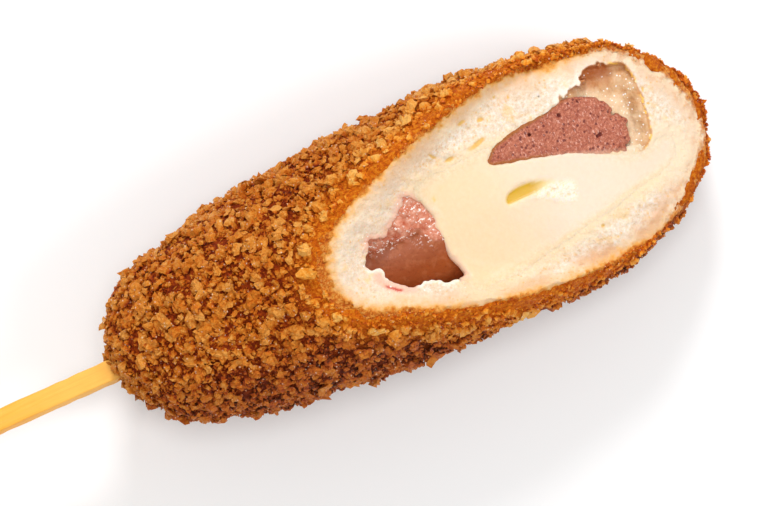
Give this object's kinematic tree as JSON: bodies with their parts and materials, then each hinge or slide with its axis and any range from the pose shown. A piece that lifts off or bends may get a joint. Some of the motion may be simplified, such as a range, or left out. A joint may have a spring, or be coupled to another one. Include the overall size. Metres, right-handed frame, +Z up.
{
  "type": "corn dog",
  "caption": "Breaded fried corn dog on a square wooden stick, lying on its side and bitten open along the top to show sausage, cheese and dough.",
  "frame": {"origin": "middle of the flat spot under the body that the corn dog rests on", "axes": "+X along the corn dog from its stick towards its bitten end, +Z up, with the bite facing up"},
  "size_m": [0.2066, 0.0537, 0.0496],
  "materials": {
    "crust": "rough golden-brown fried breadcrumb crust over cream dough",
    "sausage": "moist pink-brown sausage meat",
    "cheese": "smooth soft melted cheese",
    "stick": "bare pale wood with fine lengthwise grain"
  },
  "bodies": {
    "root": {"dough": "crust", "sausage": "sausage", "upper_sausage": "sausage", "cheese": "cheese", "stick": "stick"}
  },
  "joints": []
}
